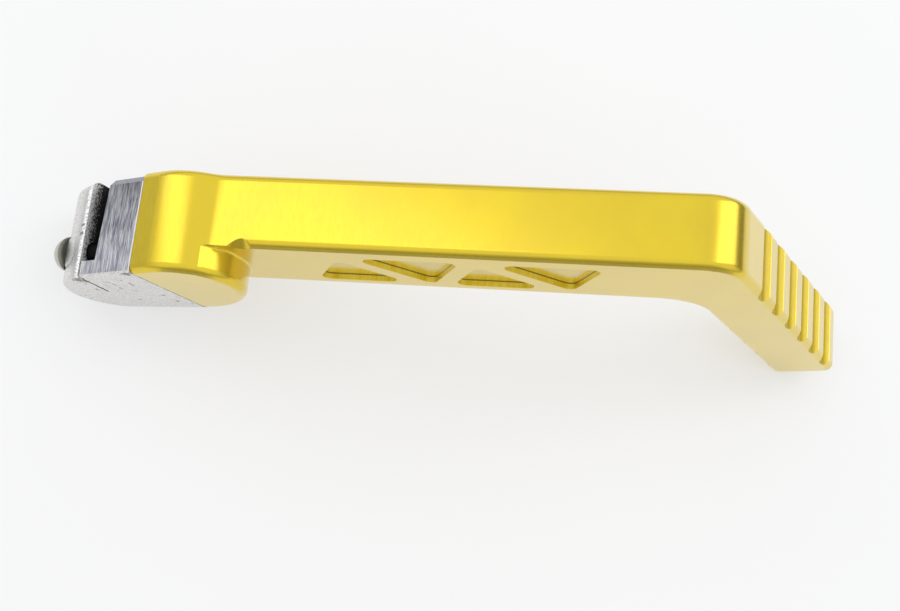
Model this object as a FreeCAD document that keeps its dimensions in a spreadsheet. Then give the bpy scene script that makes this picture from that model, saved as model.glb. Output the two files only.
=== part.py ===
"""Folding kick start lever for a small motorcycle, in millimetres.

Lever frame used while modelling: X runs along the arm from the parting face to the peg, Y runs
from the arm's front face to its back face, Z is up with the arm's top at zero. The finished
pieces are then pitched and shifted so that the lever lies as it rests on a table, with the
origin on the splined bore's axis where the splines start, just inside the bore's mouth.
"""

import math
import os

import FreeCAD
import Part
import Sketcher

Vector = FreeCAD.Vector

SIZES = [
    ("arm_width", 18.5, "arm and peg, front face to back face"),
    ("arm_height", 26.5, "arm, top to bottom"),
    ("arm_reach", 143.0, "parting face to the sharp outer corner, along the top"),
    ("outer_corner", 11.0, "radius where the top turns into the peg"),
    ("inner_corner", 13.0, "radius under the arm where the peg starts"),
    ("peg_lean", 19.3, "degrees the peg leans out from square to the arm"),
    ("peg_length", 92.5, "sharp outer corner to the peg's end"),
    ("peg_depth", 17.3, "peg, inner face to outer face"),
    ("tip_round", 2.5, "corners of the peg's end"),
    ("edge_round", 2.0, "long edges of the arm and the head"),
    ("head_over", 3.4, "round head stands out above and below the arm"),
    ("head_centre", 8.7, "head's centre from the parting face, along the top"),
    ("head_step", 7.5, "head stands out in front of the arm"),
    ("boss_root", 0.6, "hollow round where the head meets the arm's front"),
    ("crest_shift_ratio", 0.114, "sharp crest ahead of the head's centre, as a part of its radius"),
    ("crest_height", 3.3, "sharp crest above the arm's top"),
    ("crest_rise", 22.0, "degrees, slope up to the crest"),
    ("crest_fall", 20.0, "degrees, slope down to the arm's top"),
    ("crest_round_ratio", 0.96, "radius over the crest, as a part of the head's radius"),
    ("heel_round", 8.0, "radius where the head runs into the arm's top"),
    ("round_start", 27.4, "where the front edge's round starts, near the head"),
    ("cutter_radius", 2.0, "pilot radius of the rounding cutter at its run-out"),
    ("truss_first", 41.3, "first recess, left corner"),
    ("truss_base", 4.1, "standing recess, straight side above the arm's bottom"),
    ("truss_peak", 7.7, "standing recess, sharp apex below the arm's top"),
    ("truss_top", 5.5, "hanging recess, straight side below the arm's top"),
    ("truss_foot", 4.0, "hanging recess, sharp apex above the arm's bottom"),
    ("truss_long_rib", 6.0, "wall between long sides, measured along the arm"),
    ("truss_short_rib", 4.8, "wall between short sides, measured along the arm"),
    ("truss_steep", 62.8, "degrees, short side"),
    ("truss_flat", 43.3, "degrees, long side"),
    ("truss_round", 2.0, "corner radius of the recesses"),
    ("truss_depth", 1.5, "depth of the recesses"),
    ("grip_first", 22.8, "first outer groove from the sharp corner"),
    ("grip_inner_first", 46.8, "first inner groove from the sharp corner"),
    ("grip_pitch", 12.0, "groove to groove"),
    ("grip_width", 6.8, "groove across its mouth"),
    ("grip_depth", 1.7, "groove depth"),
    ("fold_tilt", 20.0, "degrees the fold axis leans from the arm"),
    ("face_gap", 0.1, "running gap between arm and knuckle"),
    ("pivot_radius", 5.0, "pivot pin"),
    ("pivot_seat", 7.5, "pivot pin's length in the knuckle"),
    ("pivot_reach", 14.0, "pivot pin's length in the head"),
    ("pivot_gap", 0.04, "running clearance around the pivot pin"),
    ("pivot_end_gap", 0.4, "space past the pivot pin's end"),
    ("pivot_bevel", 0.6, "chamfer on the pivot pin's ends"),
    ("keeper_radius", 1.5, "cross pin that holds the pivot pin"),
    ("keeper_place", 8.0, "cross pin from the parting face"),
    ("keeper_past", 1.0, "cross pin's end in front of the pivot pin"),
    ("keeper_sink", 0.5, "cross pin below the head's back face"),
    ("keeper_gap", 0.1, "clearance between cross pin and pivot groove"),
    ("ball_radius", 2.5, "detent ball"),
    ("ball_orbit", 9.0, "ball from the fold axis"),
    ("ball_stand_out", 1.0, "ball stands out of the arm's parting face"),
    ("ball_gap", 0.05, "clearance between ball and its hole"),
    ("track_gap", 0.15, "clearance between ball and track"),
    ("fold_travel", 90.0, "degrees from folded to ready"),
    ("spring_wire", 0.35, "half of the spring's six-sided wire, over its corners"),
    ("spring_coil", 1.75, "radius of the spring's coil"),
    ("spring_turns", 4.0, "turns of the spring"),
    ("spring_pitch", 1.25, "turn to turn"),
    ("spring_gap", 0.3, "spring's ends to the ball and the hole's floor"),
    ("hub_place", 11.55, "bore's centre left of the parting face"),
    ("hub_drop", 20.4, "bore's centre below the arm's top"),
    ("hub_radius", 12.5, "outside of the hub"),
    ("bore_radius", 6.0, "tips of the spline teeth"),
    ("spline_depth", 0.55, "height of a spline tooth"),
    ("spline_land", 0.27, "half width of a tooth space at its root"),
    ("spline_flare", 0.45, "half width of a tooth space at the tips"),
    ("front_wall", 4.0, "closed wall in front of the bore"),
    ("bore_bevel", 0.6, "chamfer at the bore's mouth"),
    ("knuckle_set_back", 0.4, "knuckle's back face inside the arm's"),
    ("back_bevel", 2.2, "chamfer along the knuckle's top back edge"),
    ("cast_round", 1.3, "front edges of the casting"),
    ("cast_back_round", 3.3, "back edges of the casting"),
    ("face_round", 0.6, "knuckle's top front edge"),
    ("slit_lean", 15.5, "degrees the clamping slit leans"),
    ("slit_width", 0.5, "clamping slit"),
    ("slit_end", 1.5, "slit in the front wall ends this far above the bore's centre"),
    ("slot_wall", 10.9, "slot's straight wall left of the parting face"),
    ("slot_flare", 0.95, "slot's extra width at its back end"),
    ("slot_floor", 13.0, "slot's floor below the arm's top"),
    ("ridge_place", 0.7, "ear's ridge from the slit's middle"),
    ("ridge_height", 14.15, "ear's ridge from the bore's centre, along the slit"),
    ("ear_height", 11.4, "ear's outer corner from the bore's centre, along the slit"),
    ("ear_round", 5.0, "ear's outer corner"),
    ("screw_radius", 2.5, "pinch screw"),
    ("screw_height", 9.4, "pinch screw from the bore's centre, along the slit"),
    ("screw_place", 7.4, "pinch screw behind the knuckle's front face"),
    ("screw_seat", 6.6, "slit to the underside of the screw's head"),
    ("screw_reach", 7.2, "slit to the screw's tip"),
    ("screw_gap", 0.3, "clearance around the screw in the ear"),
    ("screw_bevel", 0.5, "chamfer on the screw's tip"),
    ("dome_radius", 4.5, "screw's head, where it is widest"),
    ("dome_height", 3.9, "screw's head above its widest place"),
    ("dome_skirt", 0.8, "bevel under the screw's head"),
    ("seat_radius", 4.7, "spot face under the screw's head"),
    ("socket_across", 3.0, "hexagon socket, across flats"),
    ("socket_depth", 1.8, "hexagon socket"),
]
SPLINE_TEETH = 24
OUTER_GROOVES = 6
INNER_GROOVES = 4
TRUSS_PAIRS = 2
WIRE_SIDES = 6


class Term:
    """A number together with the sheet expression that gives it."""

    def __init__(self, value, text):
        self.value = float(value)
        self.text = text

    def __add__(self, other):
        other = term(other)
        return Term(self.value + other.value, f"({self.text} + {other.text})")

    def __sub__(self, other):
        other = term(other)
        return Term(self.value - other.value, f"({self.text} - {other.text})")

    def __mul__(self, other):
        other = term(other)
        return Term(self.value * other.value, f"({self.text} * {other.text})")

    def __truediv__(self, other):
        other = term(other)
        return Term(self.value / other.value, f"({self.text} / {other.text})")

    def __neg__(self):
        return Term(-self.value, f"(0 - {self.text})")


def term(value):
    """Turn a plain number into a Term and leave a Term as it is."""
    if isinstance(value, Term):
        return value
    return Term(value, repr(float(value)))


def sine(angle):
    return Term(math.sin(math.radians(angle.value)), f"sin({angle.text} * 1 deg)")


def cosine(angle):
    return Term(math.cos(math.radians(angle.value)), f"cos({angle.text} * 1 deg)")


def tangent(angle):
    return Term(math.tan(math.radians(angle.value)), f"tan({angle.text} * 1 deg)")


def root(square):
    return Term(math.sqrt(square.value), f"sqrt({square.text})")


class Sizes:
    """The driving dimensions, read as Terms by name."""

    def __init__(self, doc):
        self.sheet = doc.addObject("Spreadsheet::Sheet", "Sizes")
        for row, (name, value, note) in enumerate(SIZES, start=1):
            self.sheet.set(f"A{row}", str(value))
            self.sheet.setAlias(f"A{row}", name)
            self.sheet.set(f"B{row}", note)
            setattr(self, name, Term(value, f"Sizes.{name}"))


class Layout:
    """Points that several pieces share, worked out from the sizes."""

    def __init__(self, size):
        self.size = size
        self.head_radius = size.arm_height / 2 + size.head_over
        self.crest_x = size.head_centre + self.head_radius * size.crest_shift_ratio
        self.fold_cos = cosine(size.fold_tilt)
        self.fold_sin = sine(size.fold_tilt)
        self.peg_out = (cosine(size.peg_lean), sine(size.peg_lean))
        self.peg_down = (sine(size.peg_lean), -cosine(size.peg_lean))
        self.rise = tangent(size.crest_rise)
        self.parting_top = self.on_rise(term(0))
        self.crest = (self.crest_x, size.crest_height)
        self.heel_x = self.crest_x + size.crest_height / tangent(size.crest_fall)
        self.head_x = size.head_centre
        self.head_z = -size.arm_height / 2
        self.head_ahead = self.head_x * self.fold_cos + self.head_z * self.fold_sin
        self.fold_w = self.head_z * self.fold_cos - self.head_x * self.fold_sin
        self.fold_y = (size.arm_width - size.head_step) / 2
        self.bottom_w = self.fold_w - root(
            self.head_radius * self.head_radius - self.head_ahead * self.head_ahead
        )
        self.hub = (-size.hub_place, -size.hub_drop)
        self.slit_up = (-sine(size.slit_lean), cosine(size.slit_lean))
        self.screw_in = (cosine(size.slit_lean), sine(size.slit_lean))
        self.keeper_back = size.arm_width - size.keeper_sink
        self.keeper_front = self.fold_y - size.pivot_radius - size.keeper_past
        self.back_y = size.arm_width - size.knuckle_set_back
        self.bore_end_y = size.front_wall - size.head_step
        self.screw_y = size.screw_place - size.head_step

    def on_rise(self, ahead):
        """Where the head's rising top line passes, at a distance ahead of the parting face."""
        crest = self.size.crest_height - self.crest_x * self.rise
        slope = self.fold_cos * self.rise - self.fold_sin
        up = (crest + ahead * slope) / (self.fold_cos + self.fold_sin * self.rise)
        return self.fold_point(ahead, up)

    def fold_point(self, ahead, up):
        """A point given by its distance ahead of the parting face and up along that face."""
        return (
            ahead * self.fold_cos - up * self.fold_sin,
            ahead * self.fold_sin + up * self.fold_cos,
        )

    def peg_point(self, down, out):
        """A point given by its distance down the peg's outer face and out from it."""
        return (
            self.size.arm_reach + down * self.peg_down[0] + out * self.peg_out[0],
            down * self.peg_down[1] + out * self.peg_out[1],
        )

    def slit_point(self, along, right):
        """A point given by its distance from the bore's centre along and across the slit."""
        return (
            self.hub[0] + along * self.slit_up[0] + right * self.screw_in[0],
            self.hub[1] + along * self.slit_up[1] + right * self.screw_in[1],
        )


def new_body(doc, name):
    body = doc.addObject("PartDesign::Body", name)
    body.Label = name
    return body


def new_sketch(body, name, role, shift=None):
    """A sketch on one of the body's own origin planes, shifted along its normal."""
    sketch = body.newObject("Sketcher::SketchObject", f"{body.Name}_{name}")
    base = [plane for plane in body.Origin.OriginFeatures if plane.Role == role][0]
    sketch.AttachmentSupport = (base, [""])
    sketch.MapMode = "FlatFace"
    if shift is not None:
        sketch.setExpression("AttachmentOffset.Base.z", shift.text)
    return sketch


def side_sketch(body, name, depth=None):
    """A sketch seen from the front, at a depth along Y."""
    return new_sketch(body, name, "XZ_Plane", None if depth is None else -depth)


def fix_distance(sketch, kind, geometry, which, value):
    """Hold one coordinate of a sketch point at a Term."""
    index = sketch.addConstraint(
        Sketcher.Constraint(kind, -1, 1, geometry, which, value.value)
    )
    sketch.setExpression(f"Constraints[{index}]", value.text)


def fix_point(sketch, geometry, which, point):
    """Hold a sketch point at two Terms."""
    fix_distance(sketch, "DistanceX", geometry, which, point[0])
    fix_distance(sketch, "DistanceY", geometry, which, point[1])


def flat(point):
    return Vector(term(point[0]).value, term(point[1]).value, 0)


def add_outline(sketch, points, arcs=None):
    """A closed outline whose corners follow the sheet.

    arcs gives, for an edge's number, the centre of the counterclockwise arc that takes its place.
    """
    points = [(term(x), term(y)) for x, y in points]
    arcs = arcs or {}
    first = sketch.GeometryCount
    for number, point in enumerate(points):
        following = points[(number + 1) % len(points)]
        if number in arcs:
            curve = counterclockwise(point, following, arcs[number])
        else:
            curve = Part.LineSegment(flat(point), flat(following))
        sketch.addGeometry(curve, False)
    for number, point in enumerate(points):
        following = first + (number + 1) % len(points)
        sketch.addConstraint(Sketcher.Constraint("Coincident", first + number, 2, following, 1))
        fix_point(sketch, first + number, 1, point)
    for number, centre in arcs.items():
        chord = flat(points[(number + 1) % len(points)]) - flat(points[number])
        kind = "DistanceY" if abs(chord.x) > abs(chord.y) else "DistanceX"
        fix_distance(sketch, kind, first + number, 3, centre[kind == "DistanceY"])


def counterclockwise(start, end, centre):
    """Arc from start to end, with its middle line at radius of the start."""
    middle = flat(centre)
    first, last = flat(start) - middle, flat(end) - middle
    angles = [math.atan2(arm.y, arm.x) for arm in (first, last)]
    if angles[1] <= angles[0]:
        angles[1] += 2 * math.pi
    return Part.ArcOfCircle(Part.Circle(middle, Vector(0, 0, 1), first.Length), *angles)


def add_circle(sketch, centre, radius):
    centre = (term(centre[0]), term(centre[1]))
    number = sketch.addGeometry(
        Part.Circle(flat(centre), Vector(0, 0, 1), radius.value), False
    )
    fix_point(sketch, number, 3, centre)
    index = sketch.addConstraint(Sketcher.Constraint("Radius", number, radius.value))
    sketch.setExpression(f"Constraints[{index}]", radius.text)


def add_axis(sketch, start, end):
    """A construction line for a turned feature. It is the sketch's only one."""
    number = sketch.addGeometry(Part.LineSegment(flat(start), flat(end)), True)
    fix_point(sketch, number, 1, (term(start[0]), term(start[1])))
    fix_point(sketch, number, 2, (term(end[0]), term(end[1])))


def pad(body, name, sketch, length):
    """Extrude towards the back (+Y) from a side sketch."""
    feature = body.newObject("PartDesign::Pad", f"{body.Name}_{name}")
    feature.Profile = sketch
    feature.setExpression("Length", length.text)
    feature.Reversed = True
    return settle(body, feature)


def pocket(body, name, sketch, length=None, both=False):
    """Cut towards the back (+Y) from a side sketch, to a depth or through everything."""
    feature = body.newObject("PartDesign::Pocket", f"{body.Name}_{name}")
    feature.Profile = sketch
    if length is None:
        feature.Type = 1
        feature.Midplane = both
    else:
        feature.setExpression("Length", length.text)
    return settle(body, feature)


def turn(body, name, sketch, kind="PartDesign::Groove", angle=None, reverse=False):
    """Turn a sketch around its own construction line, as a cut or as a solid."""
    feature = body.newObject(kind, f"{body.Name}_{name}")
    feature.Profile = sketch
    feature.ReferenceAxis = (sketch, ["Axis0"])
    feature.Angle = 360
    if angle is not None:
        feature.setExpression("Angle", angle.text)
    feature.Reversed = reverse
    return settle(body, feature)


def settle(body, feature):
    body.Tip = feature
    body.Document.recompute()
    return feature


def edge_names(feature, wanted):
    """Names of the feature's edges for which wanted(middle, ends, edge) is true."""
    names = []
    for number, edge in enumerate(feature.Shape.Edges, start=1):
        middle = edge.valueAt((edge.FirstParameter + edge.LastParameter) / 2)
        ends = [vertex.Point for vertex in edge.Vertexes]
        if wanted(middle, ends, edge):
            names.append(f"Edge{number}")
    return names


def dress(body, name, base, wanted, size, kind="PartDesign::Fillet"):
    """Round or bevel the chosen edges of a feature."""
    names = edge_names(base, wanted)
    if not names:
        raise ValueError(f"{body.Name}_{name} found no edge")
    feature = body.newObject(kind, f"{body.Name}_{name}")
    feature.Base = (base, names)
    feature.setExpression("Radius" if kind.endswith("Fillet") else "Size", size.text)
    return settle(body, feature)


def near(first, second, reach=1e-4):
    return abs(first - second) < reach


def along_y_at(point):
    """Test for a straight edge along Y through a side point."""
    x, z = point[0].value, point[1].value

    def wanted(middle, ends, edge):
        return all(near(end.x, x) and near(end.z, z) for end in ends + [middle])

    return wanted


def in_plane_y(depth, beyond=None):
    """Test for an edge that lies in a plane of constant Y, right of an X where that is given."""

    def wanted(middle, ends, edge):
        flat_edge = all(near(point.y, depth.value) for point in ends + [middle])
        return flat_edge and (beyond is None or middle.x > beyond.value)

    return wanted


def arm_outline(size, lay):
    """Corners of the arm's side view, clockwise from the parting face's top."""
    inner_z = -size.arm_height
    slope = (size.arm_height - size.peg_depth * lay.peg_out[1]) / cosine(size.peg_lean)
    inner_x = lay.peg_point(slope, -size.peg_depth)[0]
    return {
        "top": lay.parting_top,
        "crest": lay.crest,
        "heel": (lay.heel_x, term(0)),
        "outer": (size.arm_reach, term(0)),
        "tip_outer": lay.peg_point(size.peg_length, term(0)),
        "tip_inner": lay.peg_point(size.peg_length, -size.peg_depth),
        "inner": (inner_x, inner_z),
        "foot": (size.arm_height * tangent(size.fold_tilt), inner_z),
    }


def make_bar(body, size, lay):
    """Bar and peg with rounded corners and rounded front edges."""
    corners = arm_outline(size, lay)
    outline = side_sketch(body, "outline")
    add_outline(outline, list(corners.values()))
    bar = pad(body, "bar", outline, size.arm_width)
    bar = dress(body, "outer_corner", bar, along_y_at(corners["outer"]), size.outer_corner)
    bar = dress(body, "inner_corner", bar, along_y_at(corners["inner"]), size.inner_corner)
    tips = [along_y_at(corners["tip_outer"]), along_y_at(corners["tip_inner"])]
    bar = dress(
        body, "tip_corners", bar, lambda m, e, g: any(tip(m, e, g) for tip in tips), size.tip_round
    )
    front = in_plane_y(term(0), lay.heel_x)
    return dress(body, "front_round", bar, front, size.edge_round)


def make_head(body, size, lay):
    """Round head with its crest, and the sharp shoulder beside it."""
    shoulder = side_sketch(body, "shoulder")
    depth = size.edge_round * 1.25
    left = lay.heel_x - size.edge_round
    add_outline(shoulder, [
        (left, -depth), (size.round_start, -depth), (size.round_start, term(0)), (left, term(0)),
    ])
    pad(body, "shoulder_block", shoulder, depth)
    disc = side_sketch(body, "disc", -size.head_step)
    add_circle(disc, (lay.head_x, lay.head_z), lay.head_radius)
    pad(body, "head", disc, size.head_step + size.arm_width)
    trim = side_sketch(body, "trim")
    above = lay.head_radius
    below = -lay.head_radius * 2.5
    add_outline(trim, [
        lay.parting_top, lay.crest, (lay.heel_x, term(0)), (lay.heel_x, above),
        (-lay.head_radius, above), (-lay.head_radius, below),
        (-below * tangent(size.fold_tilt), below),
    ])
    head = pocket(body, "head_faces", trim, both=True)
    head = dress(body, "crest_round", head, along_y_at(lay.crest), lay.head_radius * size.crest_round_ratio)
    return dress(body, "heel_round", head, along_y_at((lay.heel_x, term(0))), size.heel_round)


def round_head(body, head, size, lay):
    """Rounds on the back outline, the head's front outline and the head's root."""
    back = in_plane_y(size.arm_width)
    ahead = in_plane_y(-size.head_step)

    def on_parting_face(middle, ends, edge):
        points = [middle] + ends
        return all(
            near(point.x * lay.fold_cos.value + point.z * lay.fold_sin.value, 0) for point in points
        )

    def outline(plane):
        def wanted(middle, ends, edge):
            return plane(middle, ends, edge) and not on_parting_face(middle, ends, edge)

        return wanted

    def at_root(middle, ends, edge):
        on_front = near(middle.y, 0) and all(near(end.y, 0) for end in ends)
        offset = math.hypot(middle.x - lay.head_x.value, middle.z - lay.head_z.value)
        return on_front and near(offset, lay.head_radius.value)

    head = dress(body, "back_round", head, outline(back), size.edge_round)
    head = dress(body, "head_round", head, outline(ahead), size.edge_round)
    return dress(body, "root_round", head, at_root, size.boss_root)


def cut_run_out(body, size):
    """Hollow left where the rounding cutter stopped, at the start of the front edge's round."""
    profile = new_sketch(body, "cutter", "YZ_Plane", size.round_start)
    reach = size.edge_round
    axis_z = size.cutter_radius
    clear = term(-1)
    none = term(0)
    add_outline(
        profile, [(reach, axis_z), (clear, axis_z), (clear, -reach), (none, -reach), (reach, none)]
    )
    add_axis(profile, (clear, axis_z), (reach, axis_z))
    return turn(body, "run_out", profile)


def cut_recesses(body, size):
    """Triangular recesses in the front face, standing and hanging by turns."""
    sketch = side_sketch(body, "recesses")
    short = term(1) / tangent(size.truss_steep)
    long = term(1) / tangent(size.truss_flat)
    base_z, foot_z = size.truss_base - size.arm_height, size.truss_foot - size.arm_height
    rise = -size.truss_peak - base_z
    fall = -size.truss_top - foot_z
    shift = rise * short - (size.truss_peak - size.truss_top) * long + size.truss_long_rib
    pitch = shift + fall * (short + long) + (size.truss_top + base_z) * short + size.truss_short_rib
    corners = []
    for number in range(TRUSS_PAIRS):
        left = size.truss_first + pitch * number
        corners.append([
            (left, base_z), (left + rise * (short + long), base_z),
            (left + rise * short, -size.truss_peak),
        ])
        left = left + shift
        corners.append([
            (left, -size.truss_top), (left + fall * (short + long), -size.truss_top),
            (left + fall * long, foot_z),
        ])
    for triangle in corners:
        add_outline(sketch, triangle)
    cut = pocket(body, "recess_cut", sketch, size.truss_depth)
    tests = [along_y_at(point) for triangle in corners for point in triangle]
    return dress(
        body, "recess_corners", cut, lambda m, e, g: any(test(m, e, g) for test in tests),
        size.truss_round,
    )


def cut_grip(body, size, lay):
    """Round-bottomed grip grooves across the peg's outer and inner faces."""
    sketch = side_sketch(body, "grip")
    half = size.grip_width / 2
    radius = (half * half + size.grip_depth * size.grip_depth) / (size.grip_depth * 2)
    out = radius - size.grip_depth
    for number in range(OUTER_GROOVES):
        down = size.grip_first + size.grip_pitch * number
        add_circle(sketch, lay.peg_point(down, out), radius)
    for number in range(INNER_GROOVES):
        down = size.grip_inner_first + size.grip_pitch * number
        add_circle(sketch, lay.peg_point(down, -size.peg_depth - out), radius)
    return pocket(body, "grip_grooves", sketch, both=True)


def turned_hole(body, name, lay, ahead, up, depth_y, radius, start):
    """A round blind hole along the fold direction, from one distance ahead to another."""
    sketch = side_sketch(body, f"{name}_profile", depth_y)
    add_outline(sketch, [
        lay.fold_point(start, up), lay.fold_point(ahead, up),
        lay.fold_point(ahead, up + radius), lay.fold_point(start, up + radius),
    ])
    add_axis(sketch, lay.fold_point(start, up), lay.fold_point(ahead, up))
    return turn(body, name, sketch)


def make_arm(doc, size, lay):
    """Arm, head and peg, milled from one bar."""
    body = new_body(doc, "arm")
    make_bar(body, size, lay)
    head = make_head(body, size, lay)
    round_head(body, head, size, lay)
    cut_run_out(body, size)
    cut_recesses(body, size)
    cut_grip(body, size, lay)
    clear = term(-2)
    turned_hole(
        body, "pivot_bore", lay, size.pivot_reach + size.pivot_end_gap, lay.fold_w, lay.fold_y,
        size.pivot_radius + size.pivot_gap, clear,
    )
    turned_hole(
        body, "ball_hole", lay, ball_hole_depth(size), lay.fold_w - size.ball_orbit, lay.fold_y,
        size.ball_radius + size.ball_gap, clear,
    )
    keeper = side_sketch(body, "keeper", lay.keeper_front)
    add_circle(keeper, keeper_point(size, lay), size.keeper_radius)
    pocket(body, "keeper_hole", keeper)
    return body


def keeper_point(size, lay):
    return lay.fold_point(size.keeper_place, lay.fold_w + size.pivot_radius)


def ball_centre_ahead(size):
    return size.ball_radius - size.ball_stand_out


def spring_start(size):
    """Centre of the spring's first turn, ahead of the parting face."""
    reach = size.ball_radius + size.spring_wire + size.spring_gap
    return ball_centre_ahead(size) + root(reach * reach - size.spring_coil * size.spring_coil)


def ball_hole_depth(size):
    coils = size.spring_turns * size.spring_pitch
    return spring_start(size) + coils + size.spring_wire + size.spring_gap


def make_pivot_pin(doc, size, lay):
    """Plain pin with bevelled ends and a groove for the cross pin."""
    body = new_body(doc, "pivot_pin")
    sketch = side_sketch(body, "profile", lay.fold_y)
    back, front = -size.pivot_seat, size.pivot_reach
    bevel, radius = size.pivot_bevel, size.pivot_radius
    add_outline(sketch, [
        lay.fold_point(back, lay.fold_w), lay.fold_point(front, lay.fold_w),
        lay.fold_point(front, lay.fold_w + radius - bevel),
        lay.fold_point(front - bevel, lay.fold_w + radius),
        lay.fold_point(back + bevel, lay.fold_w + radius),
        lay.fold_point(back, lay.fold_w + radius - bevel),
    ])
    add_axis(sketch, lay.fold_point(back, lay.fold_w), lay.fold_point(front, lay.fold_w))
    turn(body, "shaft", sketch, "PartDesign::Revolution")
    groove = side_sketch(body, "groove", lay.fold_y)
    reach = size.keeper_radius + size.keeper_gap
    floor, over = lay.fold_w + radius - reach, lay.fold_w + radius + reach
    add_outline(groove, [
        lay.fold_point(size.keeper_place - reach, floor),
        lay.fold_point(size.keeper_place + reach, floor),
        lay.fold_point(size.keeper_place + reach, over),
        lay.fold_point(size.keeper_place - reach, over),
    ])
    add_axis(groove, lay.fold_point(back, lay.fold_w), lay.fold_point(front, lay.fold_w))
    turn(body, "keeper_groove", groove)
    return body


def make_keeper_pin(doc, size, lay):
    """Cross pin, pressed in from the head's back face, that runs in the pivot pin's groove."""
    body = new_body(doc, "keeper_pin")
    sketch = side_sketch(body, "profile", lay.keeper_front)
    add_circle(sketch, keeper_point(size, lay), size.keeper_radius)
    pad(body, "pin", sketch, lay.keeper_back - lay.keeper_front)
    return body


def make_ball(doc, size, lay):
    """Detent ball, turned from a half disc."""
    body = new_body(doc, "detent_ball")
    ahead, up = ball_centre_ahead(size), lay.fold_w - size.ball_orbit
    start = lay.fold_point(ahead - size.ball_radius, up)
    end = lay.fold_point(ahead + size.ball_radius, up)
    sketch = side_sketch(body, "profile", lay.fold_y)
    add_outline(sketch, [start, end], {1: lay.fold_point(ahead, up)})
    add_axis(sketch, start, end)
    turn(body, "ball", sketch, "PartDesign::Revolution")
    return body


def make_spring(doc, size, lay):
    """Detent spring behind the ball."""
    body = new_body(doc, "detent_spring")
    up = lay.fold_w - size.ball_orbit
    start = spring_start(size)
    sketch = side_sketch(body, "wire", lay.fold_y)
    corners = []
    for number in range(WIRE_SIDES):
        angle = term(360.0 * (number + 0.5) / WIRE_SIDES)
        ahead = start + size.spring_wire * cosine(angle)
        corners.append(lay.fold_point(ahead, up + size.spring_coil + size.spring_wire * sine(angle)))
    add_outline(sketch, corners)
    add_axis(sketch, lay.fold_point(start, up), lay.fold_point(start + 1, up))
    helix = body.newObject("PartDesign::AdditiveHelix", "detent_spring_coil")
    helix.Profile = sketch
    helix.ReferenceAxis = (sketch, ["Axis0"])
    helix.Mode = 0
    helix.setExpression("Pitch", size.spring_pitch.text)
    helix.setExpression("Height", (size.spring_pitch * size.spring_turns).text)
    settle(body, helix)
    return body


def tangent_point(centre, radius, outside, side=1):
    """Where a line from a point outside touches a circle, clockwise from it or (-1) the other way."""
    across, up = outside[0] - centre[0], outside[1] - centre[1]
    square = across * across + up * up
    along = radius * radius / square
    beside = radius * root(square - radius * radius) / square * side
    return (
        centre[0] + along * across + beside * up,
        centre[1] + along * up - beside * across,
    )


def knuckle_outline(size, lay):
    """Corners of block and ear, by name, counterclockwise from the parting face's top."""
    ahead = -size.face_gap
    foot = lay.fold_point(ahead, lay.bottom_w)
    slope = lay.slit_up[1] - lay.slit_up[0] * lay.rise
    height = size.crest_height + (lay.hub[0] - lay.crest_x) * lay.rise - lay.hub[1]
    ear = lay.slit_point(size.ear_height, -size.screw_seat)
    return {
        "top": lay.on_rise(ahead),
        "slit": lay.slit_point(height / slope, term(0)),
        "ridge": lay.slit_point(size.ridge_height, -size.ridge_place),
        "ear": ear,
        "ear_foot": tangent_point(lay.hub, size.hub_radius, ear, -1),
        "hub": lay.hub,
        "hub_foot": tangent_point(lay.hub, size.hub_radius, foot),
        "foot": foot,
    }


def make_knuckle(doc, size, lay):
    """Cast knuckle: block, hub, clamping slit, splined bore and the seats of what it carries."""
    body = new_body(doc, "knuckle")
    depth = lay.back_y + size.head_step
    outline = side_sketch(body, "outline", -size.head_step)
    corners = knuckle_outline(size, lay)
    add_outline(outline, list(corners.values()))
    pad(body, "block", outline, depth)
    disc = side_sketch(body, "disc", -size.head_step)
    add_circle(disc, lay.hub, size.hub_radius)
    hub = pad(body, "hub", disc, depth)
    dress(body, "ear_corner", hub, along_y_at(corners["ear"]), size.ear_round)
    slit = cut_slot(body, size, lay)
    round_knuckle(body, slit, size, lay, corners)
    cut_bore(body, size, lay)
    cut_screw_way(body, size, lay)
    clear = term(2)
    turned_hole(
        body, "pivot_seat", lay, -size.pivot_seat, lay.fold_w, lay.fold_y, size.pivot_radius, clear
    )
    cut_track(body, size, lay)
    return body


def round_knuckle(body, hub, size, lay, corners):
    """Bevel on the top back edge and rounds on the casting's other outer edges."""
    back = in_plane_y(lay.back_y)
    ahead = in_plane_y(-size.head_step)
    face = -size.face_gap.value
    low, high = corners["slit"][0].value, corners["ridge"][0].value

    def on_top(middle):
        line = size.crest_height.value + (middle.x - lay.crest_x.value) * lay.rise.value
        return near(middle.z, line, 1e-3) and middle.x > low

    def on_parting_face(middle):
        offset = middle.x * lay.fold_cos.value + middle.z * lay.fold_sin.value
        return near(offset, face, 1e-3)

    def in_slot(middle):
        along = (middle.x - lay.hub[0].value) * lay.slit_up[0].value
        along += (middle.z - lay.hub[1].value) * lay.slit_up[1].value
        return high < middle.x < low + size.hub_radius.value and along > 0

    def cast(plane):
        def wanted(middle, ends, edge):
            if on_top(middle) or on_parting_face(middle) or in_slot(middle):
                return False
            return plane(middle, ends, edge)

        return wanted

    def machined(plane):
        return lambda middle, ends, edge: plane(middle, ends, edge) and on_top(middle)

    bevel = "PartDesign::Chamfer"
    hub = dress(body, "back_rounds", hub, cast(back), size.cast_back_round)
    hub = dress(body, "back_bevel", hub, machined(back), size.back_bevel, bevel)
    hub = dress(body, "front_rounds", hub, cast(ahead), size.cast_round)
    return dress(body, "top_round", hub, machined(ahead), size.face_round)


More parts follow.
